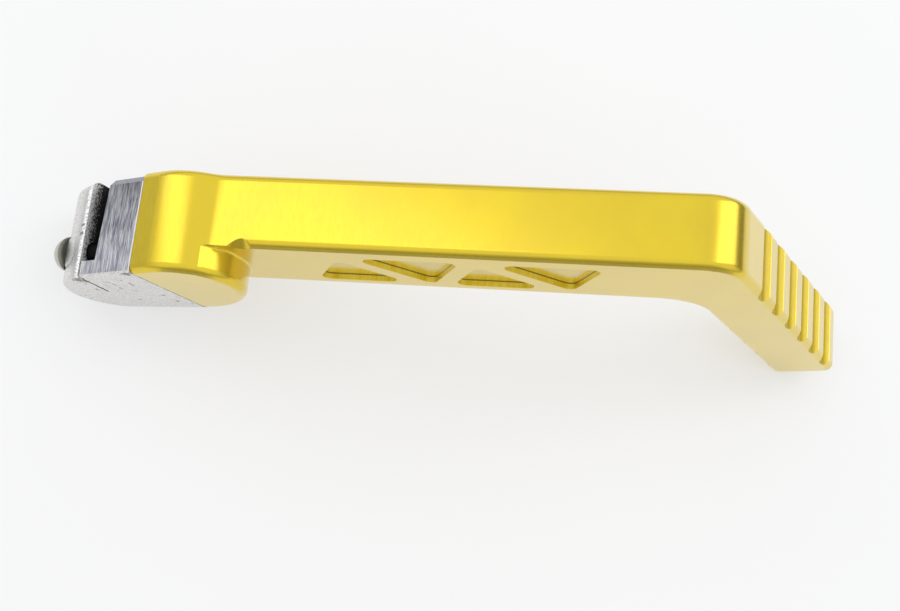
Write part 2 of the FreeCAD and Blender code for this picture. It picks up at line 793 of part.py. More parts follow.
def cut_slot(body, size, lay):
    """Wide slot behind the front wall, and the thin clamping slit right through."""
    half = size.slit_width / 2
    over = size.hub_radius + lay.head_radius
    wall = -size.slot_wall
    slot = side_sketch(body, "slot", lay.bore_end_y)
    floor_along = (size.hub_drop - size.slot_floor) / lay.slit_up[1]
    above = lay.slit_point(over, -half)
    add_outline(slot, [
        lay.slit_point(floor_along, -half), (wall, -size.slot_floor), (wall, above[1]), above,
    ])
    pocket(body, "slot_cut", slot)
    flare = new_sketch(body, "flare", "XY_Plane", -size.slot_floor)
    middle = wall - size.slot_flare
    wide, behind = wall + size.slot_flare, lay.back_y + size.slot_flare
    add_outline(flare, [
        (middle, lay.bore_end_y), (wall, lay.bore_end_y), (wide, lay.back_y), (wide, behind),
        (middle, behind),
    ])
    cut = pocket(body, "slot_flare", flare, size.slot_floor)
    cut.Reversed = True
    settle(body, cut)
    slit = side_sketch(body, "slit")
    add_outline(slit, [
        lay.slit_point(size.slit_end, -half), lay.slit_point(size.slit_end, half),
        lay.slit_point(over, half), lay.slit_point(over, -half),
    ])
    return pocket(body, "slit_cut", slit, both=True)


def cut_bore(body, size, lay):
    """Blind bore from the back face, bevelled at its mouth, with spline teeth."""
    disc = side_sketch(body, "bore", lay.bore_end_y)
    add_circle(disc, lay.hub, size.bore_radius)
    pocket(body, "bore_cut", disc)
    mouth = new_sketch(body, "mouth", "YZ_Plane", lay.hub[0])
    deep = size.spline_depth + size.bore_bevel
    rim = lay.back_y
    outside = rim + size.bore_bevel
    add_outline(mouth, [
        (outside, lay.hub[1]), (outside, lay.hub[1] + size.bore_radius + deep + size.bore_bevel),
        (rim - deep, lay.hub[1] + size.bore_radius), (rim - deep, lay.hub[1]),
    ])
    add_axis(mouth, (rim, lay.hub[1]), (rim + 1, lay.hub[1]))
    turn(body, "bore_mouth", mouth)
    space = side_sketch(body, "tooth_space", lay.bore_end_y)
    tip = lay.hub[1] - size.bore_radius
    heart = lay.hub[1] - size.bore_radius * 0.8
    add_outline(space, [
        (lay.hub[0] - size.spline_flare, tip), (lay.hub[0] - size.spline_land, tip - size.spline_depth),
        (lay.hub[0] + size.spline_land, tip - size.spline_depth), (lay.hub[0] + size.spline_flare, tip),
        (lay.hub[0] + size.spline_flare, heart), (lay.hub[0] - size.spline_flare, heart),
    ])
    first = pocket(body, "first_space", space)
    ring = body.newObject("PartDesign::PolarPattern", "knuckle_spline")
    ring.Originals = [first]
    centre = new_sketch(body, "spline_centre", "YZ_Plane", lay.hub[0])
    add_axis(centre, (term(0), lay.hub[1]), (term(1), lay.hub[1]))
    ring.Axis = (centre, ["Axis0"])
    ring.Angle = 360
    ring.Occurrences = SPLINE_TEETH
    settle(body, ring)


def cut_screw_way(body, size, lay):
    """Spot face and clearance hole in the ear, and the threaded hole's core in the block."""
    seat = size.screw_seat
    outer = size.hub_radius + lay.head_radius
    stages = (
        ("spot_face", -outer, -seat, size.seat_radius),
        ("ear_hole", -outer, term(0), size.screw_radius + size.screw_gap),
        ("thread_hole", term(0), size.screw_reach + size.screw_bevel, size.screw_radius),
    )
    for name, start, end, radius in stages:
        sketch = side_sketch(body, f"{name}_profile", lay.screw_y)
        up = size.screw_height
        add_outline(sketch, [
            lay.slit_point(up, start), lay.slit_point(up, end),
            lay.slit_point(up + radius, end), lay.slit_point(up + radius, start),
        ])
        add_axis(sketch, lay.slit_point(up, start), lay.slit_point(up, end))
        turn(body, name, sketch)


def cut_track(body, size, lay):
    """Milled arc in the parting face that the detent ball runs in, with round ends as stops."""
    centre = ball_centre_ahead(size)
    reach = root(size.ball_radius * size.ball_radius - centre * centre) + size.track_gap
    floor = -size.ball_stand_out - size.track_gap
    clear = term(1)
    rest_up = lay.fold_w - size.ball_orbit
    sketch = side_sketch(body, "track_profile", lay.fold_y)
    add_outline(sketch, [
        lay.fold_point(floor, rest_up - reach), lay.fold_point(clear, rest_up - reach),
        lay.fold_point(clear, rest_up + reach), lay.fold_point(floor, rest_up + reach),
    ])
    add_axis(sketch, lay.fold_point(term(0), lay.fold_w), lay.fold_point(clear, lay.fold_w))
    turn(body, "track", sketch, angle=size.fold_travel, reverse=True)
    ready_y = lay.fold_y - size.ball_orbit * sine(size.fold_travel)
    ready_up = lay.fold_w - size.ball_orbit * cosine(size.fold_travel)
    turned_hole(body, "folded_end", lay, floor, rest_up, lay.fold_y, reach, clear)
    turned_hole(body, "ready_end", lay, floor, ready_up, ready_y, reach, clear)


def make_screw(doc, size, lay):
    """Pinch screw with a domed head and a hexagon socket."""
    body = new_body(doc, "pinch_screw")
    up = size.screw_height
    seat, tip = -size.screw_seat, size.screw_reach
    bevel = size.screw_bevel
    sketch = side_sketch(body, "profile", lay.screw_y)
    wide = seat - size.dome_skirt
    dome = (size.dome_radius * size.dome_radius + size.dome_height * size.dome_height) / (
        size.dome_height * 2
    )
    corners = [
        lay.slit_point(up, wide - size.dome_height), lay.slit_point(up, tip),
        lay.slit_point(up + size.screw_radius - bevel, tip),
        lay.slit_point(up + size.screw_radius, tip - bevel),
        lay.slit_point(up + size.screw_radius, seat),
        lay.slit_point(up + size.dome_radius - size.dome_skirt, seat),
        lay.slit_point(up + size.dome_radius, wide),
    ]
    add_outline(sketch, corners, {6: lay.slit_point(up, wide - size.dome_height + dome)})
    add_axis(sketch, corners[0], corners[1])
    turn(body, "blank", sketch, "PartDesign::Revolution")
    cut_socket(body, size, lay, lay.slit_point(up, wide - size.dome_height))
    return body


def cut_socket(body, size, lay, tip):
    """Hexagon socket in the dome, square to the screw."""
    sketch = body.newObject("Sketcher::SketchObject", "pinch_screw_socket_outline")
    base = [plane for plane in body.Origin.OriginFeatures if plane.Role == "YZ_Plane"][0]
    sketch.AttachmentSupport = (base, [""])
    sketch.MapMode = "FlatFace"
    sketch.AttachmentOffset = FreeCAD.Placement(
        Vector(0, 0, 0), FreeCAD.Rotation(Vector(1, 0, 0), -size.slit_lean.value)
    )
    sketch.setExpression("AttachmentOffset.Rotation.Angle", f"0 - {size.slit_lean.text}")
    for axis, place in (("x", lay.screw_y), ("y", tip[1]), ("z", tip[0])):
        sketch.setExpression(f"AttachmentOffset.Base.{axis}", place.text)
    half = size.socket_across / 2
    corner = half * 2 / root(term(3))
    add_outline(sketch, [
        (corner, term(0)), (corner / 2, half), (-corner / 2, half),
        (-corner, term(0)), (-corner / 2, -half), (corner / 2, -half),
    ])
    socket = pocket(body, "socket", sketch, size.socket_depth)
    socket.Reversed = True
    return settle(body, socket)


def rest_placement(size, lay):
    """Pitch and shift that lay the lever down, with the start of its splines at the origin."""
    hub = Vector(lay.hub[0].value, 0, lay.hub[1].value)
    corner = lay.peg_point(size.peg_length - size.tip_round, size.tip_round - size.peg_depth)
    foot = Vector(corner[0].value, 0, corner[1].value)
    span = foot - hub
    lift = math.asin((size.hub_radius.value - size.tip_round.value) / span.Length)
    pitch = -math.degrees(math.atan2(span.z, span.x) + lift)
    turned = FreeCAD.Rotation(Vector(0, 1, 0), -pitch)
    start = (lay.back_y - size.spline_depth - size.bore_bevel).value
    origin = turned.multVec(Vector(hub.x, start, hub.z))
    return FreeCAD.Placement(origin.negative(), turned)


def check(doc, pieces):
    """Stop when a feature failed or a piece isn't one valid solid."""
    for item in doc.Objects:
        if any(word in item.State for word in ("Invalid", "Error")):
            raise RuntimeError(f"{item.Name} failed: {item.State}")
    for piece in pieces:
        shape = piece.Shape
        if shape.isNull() or not shape.isValid() or len(shape.Solids) != 1:
            raise RuntimeError(f"{piece.Label} isn't one valid solid")


def main():
    doc = FreeCAD.newDocument("kick_start_lever")
    size = Sizes(doc)
    doc.recompute()
    lay = Layout(size)
    makers = (
        make_arm, make_knuckle, make_pivot_pin, make_keeper_pin, make_ball, make_spring, make_screw
    )
    pieces = [maker(doc, size, lay) for maker in makers]
    placement = rest_placement(size, lay)
    for piece in pieces:
        piece.Placement = placement
    doc.recompute()
    check(doc, pieces)
    os.makedirs("parts", exist_ok=True)
    for piece in pieces:
        piece.Shape.exportStep(f"parts/{piece.Label}.step")
        print(piece.Label, round(piece.Shape.Volume, 1), piece.Shape.BoundBox)
    print("pitch", math.degrees(placement.Rotation.Angle))
    print("shift", placement.Base)


main()
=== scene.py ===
"""A folding kick start lever on a white table, seen from above and a little to its left.

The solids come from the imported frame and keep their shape. This script gives them materials,
covers one opening over the screw with the piece ear_crown, and adds table, lights and camera.
Lengths are in metres.
"""

import bmesh
import bpy
import math
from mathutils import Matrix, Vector


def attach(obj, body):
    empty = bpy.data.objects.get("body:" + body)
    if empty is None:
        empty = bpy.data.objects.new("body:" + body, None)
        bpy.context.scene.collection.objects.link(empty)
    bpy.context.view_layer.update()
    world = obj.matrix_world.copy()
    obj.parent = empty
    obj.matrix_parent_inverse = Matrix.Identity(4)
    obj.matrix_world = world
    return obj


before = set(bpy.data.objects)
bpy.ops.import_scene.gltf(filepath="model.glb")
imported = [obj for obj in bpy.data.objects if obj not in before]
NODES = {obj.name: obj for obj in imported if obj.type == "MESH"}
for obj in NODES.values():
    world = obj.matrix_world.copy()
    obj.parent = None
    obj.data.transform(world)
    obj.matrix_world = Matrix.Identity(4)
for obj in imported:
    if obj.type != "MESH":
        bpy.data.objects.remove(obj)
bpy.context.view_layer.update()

# Camera, solved from the photograph's parallel edges
CAMERA_PLACE = (0.031719, -0.114760, 0.348679)
CAMERA_TURN_DEG = (14.8524, -10.4943, 5.7144)
CAMERA_CLIP = (0.01, 20.0)
FOCAL_PX = 1382.75
FRAME_WIDTH_PX = 900
SENSOR_MM = 36.0

# Turns from +X towards +Z: the arm's and the fold axis's, and from the arm the other three
PITCH_DEG = 19.0616
FOLD_DEG = 39.0616
SLIT_LEAN_DEG = 15.5
CREST_RISE_DEG = 22.0
PEG_LEAN_DEG = 19.3

# Soft edge of most masks
SOFT = 0.0002

# Long front round: its normal is held between these two cosines to the front, where it keeps the
# first one and this length across it
HELD_FRONT = 0.72
FLAT_FRONT = 0.988
HELD_LEVEL = 0.694

# Arm's recesses: their floor and reach, and heights over the floor of the walls, which are
# painted lighter, of the line of painted shade in their corner and of the floor itself, which
# gets painted shade
RECESS_FLOOR_Y = -0.01545
RECESS_UP = (-0.0046, 0.0189)
RECESS_ALONG = (0.050, 0.150)
RECESS_WALL = (-0.0003, -0.0001)
RECESS_SHADE_LINE = (0.00024, 0.00008)
RECESS_FLOOR = (-0.0003, 0.0003)

# Peg: place of its outer face, where its grip starts, and the depths that count as a groove
PEG_FACE_OUT = 0.15261
PEG_GRIP_DOWN = (0.0425, 0.0430)
GROOVE_DEPTH = (0.00018, 0.0025)

# Face between knuckle and arm, along the fold axis, and two lines that end before it
PARTING_AHEAD = 0.01773
PARTING_EDGE = (PARTING_AHEAD - 0.0005, PARTING_AHEAD - 0.0003)
PARTING_SEAM = (PARTING_AHEAD - 0.00034, PARTING_AHEAD - 0.00020)

# Knuckle's top: where the ground face and the bevel start along SLIT_RIGHT, and, along Y, the
# ground face's back and front ends and its lip, which is painted with shade
GROUND_FROM = (0.0005, 0.0010)
BEVEL_FROM = (0.0050, 0.0056)
GROUND_Y = (0.0, -0.0235)
GROUND_LIP_Y = (-0.0241, -0.0243)

# Along SLIT_RIGHT the ear's outside, its top, where painted shade darkens that towards the ridge,
# and its ridge with a painted highlight, and where that highlight starts along SLIT_UP
EAR_OUTSIDE = -0.0066
EAR_TOP = (-0.0068, -0.0003)
EAR_DARKENS = (-0.0050, -0.0013)
RIDGE = (-0.0012, -0.0002)
RIDGE_UP = (0.0100, 0.0115)

# Nicks in the ridge: their reach along SLIT_RIGHT, and the place and half width of each along Y
NICK_REACH = (-0.0018, -0.0006)
NICKS = ((-0.0109, 0.00015), (-0.0131, 0.00025))

# Slot: reach along SLIT_RIGHT, the ear's side of it, and heights along SLIT_UP between which
# painted shade darkens it and it turns bare. Grains shift these heights up and down.
SLOT_REACH = (-0.0003, 0.0055)
SLOT_EAR_SIDE = (0.0015, 0.0010)
SLOT_DARK_UP = (0.0134, 0.0100)
SLOT_BARE_UP = (0.0122, 0.0136)
SLOT_GRAIN = 0.0016

# Pinch screw: its axis, and where its dome turns from the painted highlight of its tip to middle
# and from middle to the painted shade of its foot, and where the painted shade of the shank
# starts
SCREW_UP = 0.0094
SCREW_Y = -0.01705
DOME_MIDDLE = (-0.0080, -0.0075)
DOME_FOOT = (-0.0073, -0.0067)
SHANK = (EAR_OUTSIDE, EAR_OUTSIDE + 0.0001)

# Cosines between which a surface starts to count as looking in a direction. Where the first is
# the larger, it counts below them.
ROUND_FACE = (0.05, 0.15)
RECESS_WALL_FACE = (0.6, 0.4)
RECESS_FLOOR_FACE = (0.95, 0.99)
GROOVE_FACE = (0.15, 0.3)
GROOVE_SIDE_FACE = (0.35, 0.25)
FRONT_FACE = (0.9, 0.97)
EAR_TOP_FACE = (0.5, 0.7)
GROUND_FACE = (0.992, 0.999)
BEVEL_FACE = (0.3, 0.45)
BEVEL_BACK = (0.3, 0.9)
SLOT_FACE = (0.75, 0.9)

# Values of a noise between which a pattern starts to show. Where the first is the larger, it
# shows below them.
NOISE_WIDE = (0.3, 0.7)
NOISE_NARROW = (0.35, 0.65)
BRUSHED = (0.25, 0.75)
STREAKS = (0.38, 0.62)
PITS = (0.38, 0.31)
RIDGE_GRAINS = (0.42, 0.5)
SEAM_DOTS = (0.40, 0.60)

# What such patterns change: gain of the ground face from back to front and by patches, how faint
# a seam's dots get, how ragged a mark's outline is and where it fades, and heights for the bump
GROUND_GAIN = (0.60, 1.08)
PATCH_GAIN = (-0.14, 0.14)
DOT_COVER = (0.35, 1.0)
MARK_RAGGED = (-0.6, 0.6)
MARK_OUTLINE = (1.0, 0.55)
BLAST_HEIGHT = 0.5
STREAK_HEIGHT = 0.6

# Marks on the casting's front face: x, z, angle in degrees, half length and half width
FACE_MARKS = (
    (0.0038, 0.0206, 20, 0.0018, 0.0020),
    (-0.0076, 0.0086, 20, 0.0022, 0.0020),
    (-0.0096, 0.0094, 40, 0.0012, 0.0015),
    (0.0052, 0.0112, -59, 0.0017, 0.00022),
    (0.0006, 0.0091, -42, 0.0015, 0.00020),
    (-0.0013, 0.0072, -50, 0.0012, 0.00018),
    (0.0023, 0.0064, -55, 0.0009, 0.00025),
    (0.0127, 0.0050, -5, 0.0008, 0.00055),
    (0.0070, -0.0023, -38, 0.0008, 0.00030),
    (0.0164, 0.0014, 25, 0.0005, 0.00050),
)

# Rings of the web over the screw's shank: place along SLIT_RIGHT, half width, height over the
# screw's axis, and power of sine and cosine, where 1 is round and less is squarer
CROWN_BORE = 0.00255
CROWN_INSIDE = -0.0034
CROWN_RINGS = (
    (EAR_OUTSIDE, CROWN_BORE, CROWN_BORE, 1.0),
    (EAR_OUTSIDE, 0.0043, 0.00262, 0.55),
    (-0.0050, 0.0043, 0.00305, 0.55),
    (CROWN_INSIDE, 0.0043, 0.00345, 0.55),
    (CROWN_INSIDE, CROWN_BORE, CROWN_BORE, 1.0),
)
CROWN_PARTS = 32
CROWN_SWEEP_DEG = 170.0

# Table, and soft boxes: name, direction, width and length, watts
TABLE_Z = -0.0125
TABLE_REACH = 3.0
TABLE_GLOW = 0.47
LEVER_MIDDLE = (0.08, -0.01, 0.02)
LIGHT_DISTANCE = 1.2
SOFT_BOXES = (
    ("left_soft", (-0.72, 0.33, 0.62), (0.26, 1.2), 1.0),
    ("right_soft", (0.58, 0.30, 0.75), (0.38, 1.2), 1.9),
)

# White tent: sine of the height where it is fully bright, and what is left at the horizon
TENT_RISE = 0.55
TENT_LOW = 0.55

# Darker parts of the tent: direction, cosines where the change starts and ends, and what is left
DARK_SIDES = (
    ((0.0, -0.98, 0.20), 0.66, 0.97, 0.55),
    ((0.93, 0.27, 0.10), 0.82, 0.97, 0.45),
)

# Colours, linear
BLACK = (0.0, 0.0, 0.0, 1)
WHITE = (1.0, 1.0, 1.0, 1)
GOLD_LIGHT = (0.77, 0.572, 0.014, 1)
GOLD_DEEP = (0.74, 0.542, 0.017, 1)
# Recesses: walls painted lighter, milling ribs with a painted highlight, and a line of painted
# shade in their corner
GOLD_WALL_PAINTED_LIGHT = (0.96, 0.76, 0.045, 1)
GOLD_RIB_HIGHLIGHT = (1.0, 0.90, 0.16, 1)
CORNER_PAINTED_SHADE = (0.03, 0.02, 0.0, 1)
GROUND_DARK = (0.22, 0.22, 0.28, 1)
GROUND_LIGHT = (0.72, 0.72, 0.74, 1)
# Painted shade along the ground face's front lip
GROUND_LIP_PAINTED_SHADE = (0.12, 0.11, 0.12, 1)
GROUND_EDGE = (0.95, 0.93, 0.93, 1)
BEVEL_DARK = (0.24, 0.24, 0.27, 1)
BEVEL_LIGHT = (0.44, 0.44, 0.47, 1)
CAST_DARK = (0.64, 0.63, 0.61, 1)
CAST_LIGHT = (0.88, 0.87, 0.85, 1)
EAR_SHADE = (0.42, 0.42, 0.42, 1)
# Painted highlight along the ear's ridge
RIDGE_PAINTED_HIGHLIGHT = (0.98, 0.97, 0.97, 1)
SEAM_DARK = (0.10, 0.09, 0.08, 1)
PIT_DARK = (0.16, 0.15, 0.14, 1)
# Painted shade in the slot
SLOT_PAINTED_SHADE = (0.010, 0.010, 0.010, 1)
# Screw: painted highlight at the dome's tip, painted shade at its foot and on the shank in the
# slot
DOME_TIP_PAINTED_HIGHLIGHT = (0.50, 0.50, 0.46, 1)
DOME_LIGHT = (0.25, 0.25, 0.19, 1)
DOME_DARK = (0.20, 0.20, 0.15, 1)
DOME_FOOT_PAINTED_SHADE = (0.06, 0.06, 0.055, 1)
SHANK_PAINTED_SHADE = (0.012, 0.012, 0.012, 1)
PIN_STEEL = (0.62, 0.62, 0.63, 1)
PIN_WORN = (0.5456, 0.5456, 0.5544, 1)
WIRE_STEEL = (0.42, 0.42, 0.43, 1)
WIRE_WORN = (0.3696, 0.3696, 0.3784, 1)
TABLE_DARK = (0.44, 0.44, 0.44, 1)
TABLE_LIGHT = (0.47, 0.47, 0.47, 1)
TENT_WHITE = (0.97, 0.98, 1.0, 1)

# How far a colour covers what is under it, and how far the bare grains lose their metal
RIB_COVER = 0.7
CORNER_COVER = 0.8
FLOOR_SHADE = 0.15
GROOVE_SHADE = 0.14
LIP_COVER = 0.8
EAR_COVER = 0.5
PIT_COVER = 0.8
SLOT_SHADE_COVER = 0.975
BARE_DULL = 0.8

# Roughness, and what a finish adds to it
GOLD_ROUGH = (0.20, 0.27)
GROOVE_ROUGHER = 0.26
WALL_ROUGHER = 0.25
CAST_ROUGH = 0.48
GROUND_ROUGHER = -0.13
SLOT_SHADE_ROUGHER = 0.3
DOME_ROUGH = (0.05, 0.09)
SHANK_ROUGHER = 0.5
PIN_ROUGH = (0.22, 0.34)
WIRE_ROUGH = (0.3, 0.42)
TABLE_ROUGH = 0.6

# Numbers of the Mix node's two inputs and its result, for each kind of value
MIX_SOCKETS = {"RGBA": (6, 7, 2), "VECTOR": (4, 5, 1)}


def direction(degrees):
    """Unit vector in the XZ plane, turned from +X towards +Z."""
    angle = math.radians(degrees)
    return (math.cos(angle), 0.0, math.sin(angle))


UP = (0.0, 0.0, 1.0)
BACK = (0.0, 1.0, 0.0)
FRONT = (0.0, -1.0, 0.0)
AHEAD = direction(FOLD_DEG)
ARM_ALONG = direction(PITCH_DEG)
ARM_UP = direction(90 + PITCH_DEG)
SLIT_RIGHT = direction(SLIT_LEAN_DEG + PITCH_DEG)
SLIT_UP = direction(90 + SLIT_LEAN_DEG + PITCH_DEG)
CREST_NORMAL = direction(90 + CREST_RISE_DEG + PITCH_DEG)
PEG_OUT = direction(PITCH_DEG + PEG_LEAN_DEG)
PEG_DOWN = direction(PITCH_DEG + PEG_LEAN_DEG - 90)


class Graph:
    """Short calls for building a tree of nodes."""

    def __init__(self, tree):
        self.tree = tree
        self.tree.nodes.clear()

    def node(self, kind, **settings):
        made = self.tree.nodes.new(kind)
        for key, value in settings.items():
            setattr(made, key, value)
        return made

    def link(self, source, target):
        self.tree.links.new(source, target)

    def feed(self, socket, value):
        """Link an output to a socket, or set the socket to a plain value."""
        if isinstance(value, bpy.types.NodeSocket):
            self.link(value, socket)
        else:
            socket.default_value = value

    def feed_all(self, made, values):
        """Feed a node's first sockets in order, and give the node back."""
        for socket, value in zip(made.inputs, values):
            self.feed(socket, value)
        return made

    def math(self, operation, *values):
        return self.feed_all(self.node("ShaderNodeMath", operation=operation), values).outputs[0]

    def product(self, first, *others):
        for value in others:
            first = self.math("MULTIPLY", first, value)
        return first

    def total(self, first, *others):
        for value in others:
            first = self.math("ADD", first, value)
        return first

    def rest(self, value):
        """What a value leaves of 1."""
        return self.math("SUBTRACT", 1.0, value)

    def vector_math(self, operation, *values):
        return self.feed_all(self.node("ShaderNodeVectorMath", operation=operation), values)

    def vector(self, operation, *values):
        return self.vector_math(operation, *values).outputs["Vector"]

    def dot(self, vector, other):
        return self.vector_math("DOT_PRODUCT", vector, other).outputs["Value"]

    def scaled(self, vector, gain):
        made = self.vector_math("SCALE", vector)
        self.feed(made.inputs["Scale"], gain)
        return made.outputs["Vector"]

    def step(self, value, start, end, low=0.0, high=1.0):
        """Smooth change from low at start to high at end."""
        made = self.node("ShaderNodeMapRange", interpolation_type="SMOOTHSTEP")
        self.feed(made.inputs["Value"], value)
        self.feed(made.inputs["From Min"], start)
        self.feed(made.inputs["From Max"], end)
        self.feed(made.inputs["To Min"], low)
        self.feed(made.inputs["To Max"], high)
        return made.outputs["Result"]

    def band(self, value, start, end, soft):
        """1 between start and end, 0 outside them."""
        rise = self.step(value, start - soft, start)
        return self.product(rise, self.step(value, end, end + soft, 1.0, 0.0))

    def mix(self, factor, first, second, kind="RGBA"):
        first_at, second_at, result_at = MIX_SOCKETS[kind]
        made = self.node("ShaderNodeMix", data_type=kind)
        self.feed(made.inputs["Factor"], factor)
        self.feed(made.inputs[first_at], first)
        self.feed(made.inputs[second_at], second)
        return made.outputs[result_at]

    def paint(self, base, colour, *masks):
        """Colour laid over a base, as far as the product of all masks says."""
        return self.mix(self.product(*masks), base, colour)


class MaterialGraph(Graph):
    """Nodes of one material. Places and normals are the piece's own, so marks fold with it."""

    def __init__(self, name):
        self.material = bpy.data.materials.new(name)
        self.material.use_nodes = True
        super().__init__(self.material.node_tree)
        self.shader = self.node("ShaderNodeBsdfPrincipled")
        output = self.node("ShaderNodeOutputMaterial")
        self.link(self.shader.outputs["BSDF"], output.inputs["Surface"])
        self.place = self.node("ShaderNodeTexCoord").outputs["Object"]
        geometry = self.node("ShaderNodeNewGeometry")
        self.normal = self.turned(geometry.outputs["True Normal"], "WORLD", "OBJECT")
        self.smooth_normal = self.turned(geometry.outputs["Normal"], "WORLD", "OBJECT")

    def turned(self, normal, source, target):
        """Normal in another frame."""
        made = self.node("ShaderNodeVectorTransform", vector_type="NORMAL")
        made.convert_from, made.convert_to = source, target
        self.link(normal, made.inputs[0])
        return made.outputs[0]

    def along(self, towards):
        """Distance from the frame's origin in a direction."""
        return self.dot(self.place, towards)

    def facing(self, towards):
        """1 where the surface looks in a direction, -1 where it looks away from it."""
        return self.dot(self.normal, towards)

    def noise(self, scale, stretch=(1, 1, 1), detail=3.0, rough=0.5):
        """Noise over the piece. scale counts features per metre before the stretch."""
        mapping = self.node("ShaderNodeMapping")
        self.feed(mapping.inputs["Vector"], self.place)
        self.feed(mapping.inputs["Scale"], stretch)
        made = self.node("ShaderNodeTexNoise")
        self.feed(made.inputs["Vector"], mapping.outputs[0])
        self.feed(made.inputs["Scale"], scale)
        self.feed(made.inputs["Detail"], detail)
        self.feed(made.inputs["Roughness"], rough)
        return made.outputs["Fac"]

    def scar(self, x, z, degrees, half_length, half_width, ragged):
        """1 on a long mark of a face that looks along Y."""
        mapping = self.node("ShaderNodeMapping", vector_type="TEXTURE")
        self.feed(mapping.inputs["Vector"], self.place)
        self.feed(mapping.inputs["Location"], (x, 0, z))
        self.feed(mapping.inputs["Rotation"], (0, -math.radians(degrees), 0))
        self.feed(mapping.inputs["Scale"], (half_length, 1, half_width))
        length = self.vector_math("LENGTH", mapping.outputs[0]).outputs["Value"]
        return self.step(self.total(length, ragged), *MARK_OUTLINE)

    def bump(self, height, strength, distance, base=None):
        made = self.node("ShaderNodeBump")
        self.feed(made.inputs["Strength"], strength)
        self.feed(made.inputs["Distance"], distance)
        self.feed(made.inputs["Height"], height)
        if base is not None:
            self.link(base, made.inputs["Normal"])
        return made.outputs["Normal"]

    def surface(self, **values):
        for key, value in values.items():
            self.feed(self.shader.inputs[key.replace("_", " ")], value)
        return self.material


def edge_normal(graph):
    """Normal that stops turning part of the way round a long front edge."""
    front = graph.dot(graph.smooth_normal, FRONT)
    above = graph.step(graph.dot(graph.smooth_normal, ARM_UP), *ROUND_FACE)
    on_edge = graph.product(graph.band(front, HELD_FRONT, FLAT_FRONT, soft=0.008), above)
    level = graph.vector("NORMALIZE", graph.vector("MULTIPLY", graph.smooth_normal, (1, 0, 1)))
    held = graph.vector("ADD", graph.scaled(level, HELD_LEVEL), (0, -HELD_FRONT, 0))
    mixed = graph.mix(on_edge, graph.smooth_normal, held, "VECTOR")
    return graph.turned(graph.vector("NORMALIZE", mixed), "OBJECT", "WORLD")


def recess_masks(graph):
    """Masks of the recesses' milled walls, painted lighter, and of the painted shade in the
    corner along their floors and on the floors.
    """
    rise = graph.math("SUBTRACT", RECESS_FLOOR_Y, graph.along(BACK))
    walls = graph.product(
        graph.step(graph.math("ABSOLUTE", graph.facing(BACK)), *RECESS_WALL_FACE),
        graph.band(graph.along(ARM_UP), *RECESS_UP, SOFT),
        graph.band(graph.along(ARM_ALONG), *RECESS_ALONG, SOFT),
        graph.step(rise, *RECESS_WALL),
    )
    corner = graph.product(walls, graph.step(rise, *RECESS_SHADE_LINE))
    facing = graph.step(graph.facing(FRONT), *RECESS_FLOOR_FACE)
    floors = graph.product(facing, graph.band(rise, *RECESS_FLOOR, SOFT))
    return walls, corner, floors


def groove_mask(graph):
    """1 inside the grip grooves of the peg's outer face, which get painted shade and more
    roughness.
    """
    depth = graph.math("SUBTRACT", PEG_FACE_OUT, graph.along(PEG_OUT))
    return graph.product(
        graph.band(depth, *GROOVE_DEPTH, soft=0.0001),
        graph.step(graph.along(PEG_DOWN), *PEG_GRIP_DOWN),
        graph.step(graph.math("ABSOLUTE", graph.facing(BACK)), *GROOVE_SIDE_FACE),
        graph.step(graph.facing(PEG_OUT), *GROOVE_FACE),
    )


def gold():
    """Satin gold anodising: coloured metal under a clear oxide skin."""
    graph = MaterialGraph("gold_anodised")
    fine = graph.noise(5200.0, detail=2.0)
    brushed = graph.noise(3200.0, stretch=(1.0, 0.12, 1.0))
    cloud = graph.noise(60.0, detail=2.0)
    milled = graph.noise(1800.0, stretch=(1.0, 0.05, 1.0), detail=2.0)
    walls, corner, floors = recess_masks(graph)
    grooves = groove_mask(graph)
    base = graph.mix(graph.step(cloud, *NOISE_NARROW), GOLD_LIGHT, GOLD_DEEP)
    # Painted light and shade in the recesses: lighter walls, milling ribs with a painted
    # highlight, a line of painted shade in the corner and painted shade on the floors
    base = graph.paint(base, GOLD_WALL_PAINTED_LIGHT, walls)
    base = graph.paint(base, GOLD_RIB_HIGHLIGHT, walls, graph.step(milled, *NOISE_NARROW), RIB_COVER)
    base = graph.paint(base, CORNER_PAINTED_SHADE, corner, CORNER_COVER)
    base = graph.paint(base, BLACK, floors, FLOOR_SHADE)
    # Painted shade in the peg's grip grooves
    base = graph.paint(base, BLACK, grooves, GROOVE_SHADE)
    rough = graph.total(
        graph.step(brushed, *BRUSHED, *GOLD_ROUGH),
        graph.product(grooves, GROOVE_ROUGHER),
        graph.product(walls, WALL_ROUGHER),
    )
    shape = graph.bump(fine, strength=0.10, distance=0.00002, base=edge_normal(graph))
    return graph.surface(
        Base_Color=base, Metallic=1.0, Roughness=rough, Normal=shape,
        Coat_Weight=1.0, Coat_IOR=1.45, Coat_Roughness=0.12,
    )


def ground_colour(graph, streak):
    """Ground top face: blue grey streaks, lighter to the front, with painted shade along its
    front lip and a bright parting edge.
    """
    y = graph.along(BACK)
    patch = graph.noise(380.0, stretch=(1.0, 0.5, 1.0))
    gain = graph.total(
        graph.step(y, *GROUND_Y, *GROUND_GAIN), graph.step(patch, *NOISE_WIDE, *PATCH_GAIN)
    )
    colour = graph.mix(graph.step(streak, *STREAKS), GROUND_DARK, GROUND_LIGHT)
    # Painted shade along the front lip
    colour = graph.paint(colour, GROUND_LIP_PAINTED_SHADE, graph.step(y, *GROUND_LIP_Y), LIP_COVER)
    edge = graph.step(graph.along(AHEAD), *PARTING_EDGE)
    return graph.paint(graph.scaled(colour, gain), GROUND_EDGE, edge)


